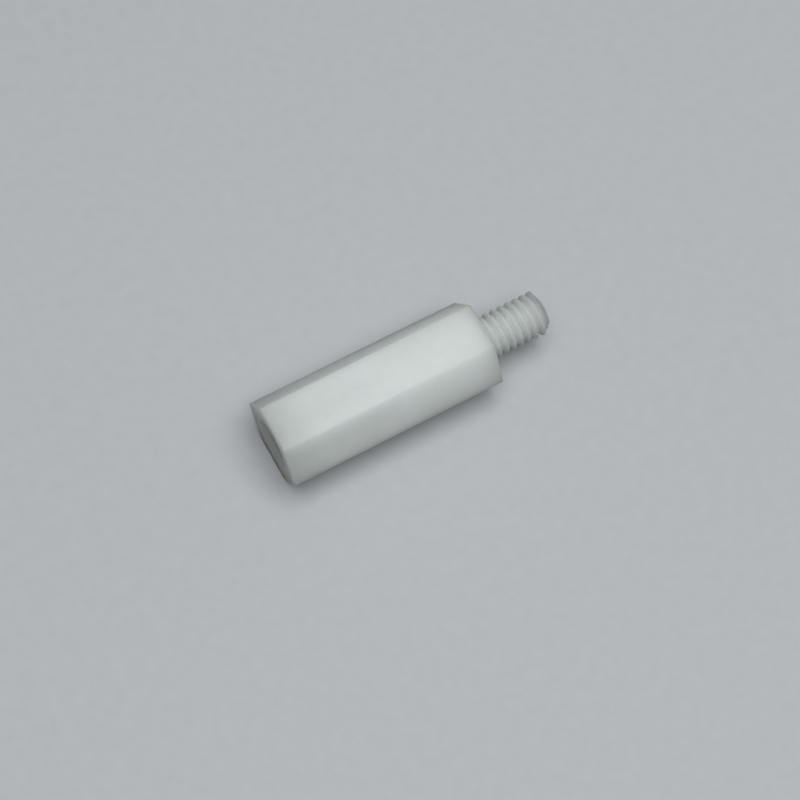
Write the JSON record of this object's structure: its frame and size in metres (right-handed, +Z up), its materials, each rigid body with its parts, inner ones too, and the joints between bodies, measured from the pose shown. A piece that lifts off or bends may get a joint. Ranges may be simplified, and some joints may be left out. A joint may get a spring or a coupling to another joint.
{
  "type": "hex standoff",
  "caption": "Hexagonal nylon standoff with a tapped blind bore in its female end and a threaded stud on its male end, for holding a circuit board off a panel.",
  "frame": {"origin": "on the axis, in the plane of the shoulder that the stud stands on", "axes": "+X along the axis, from the body out through the stud; +Z up, square to the upper flat; the part lies on the opposite flat"},
  "size_m": [0.0252, 0.008, 0.007],
  "materials": {
    "nylon": "natural white nylon, satin and slightly translucent"
  },
  "bodies": {
    "root": {"standoff": "nylon"}
  },
  "joints": []
}
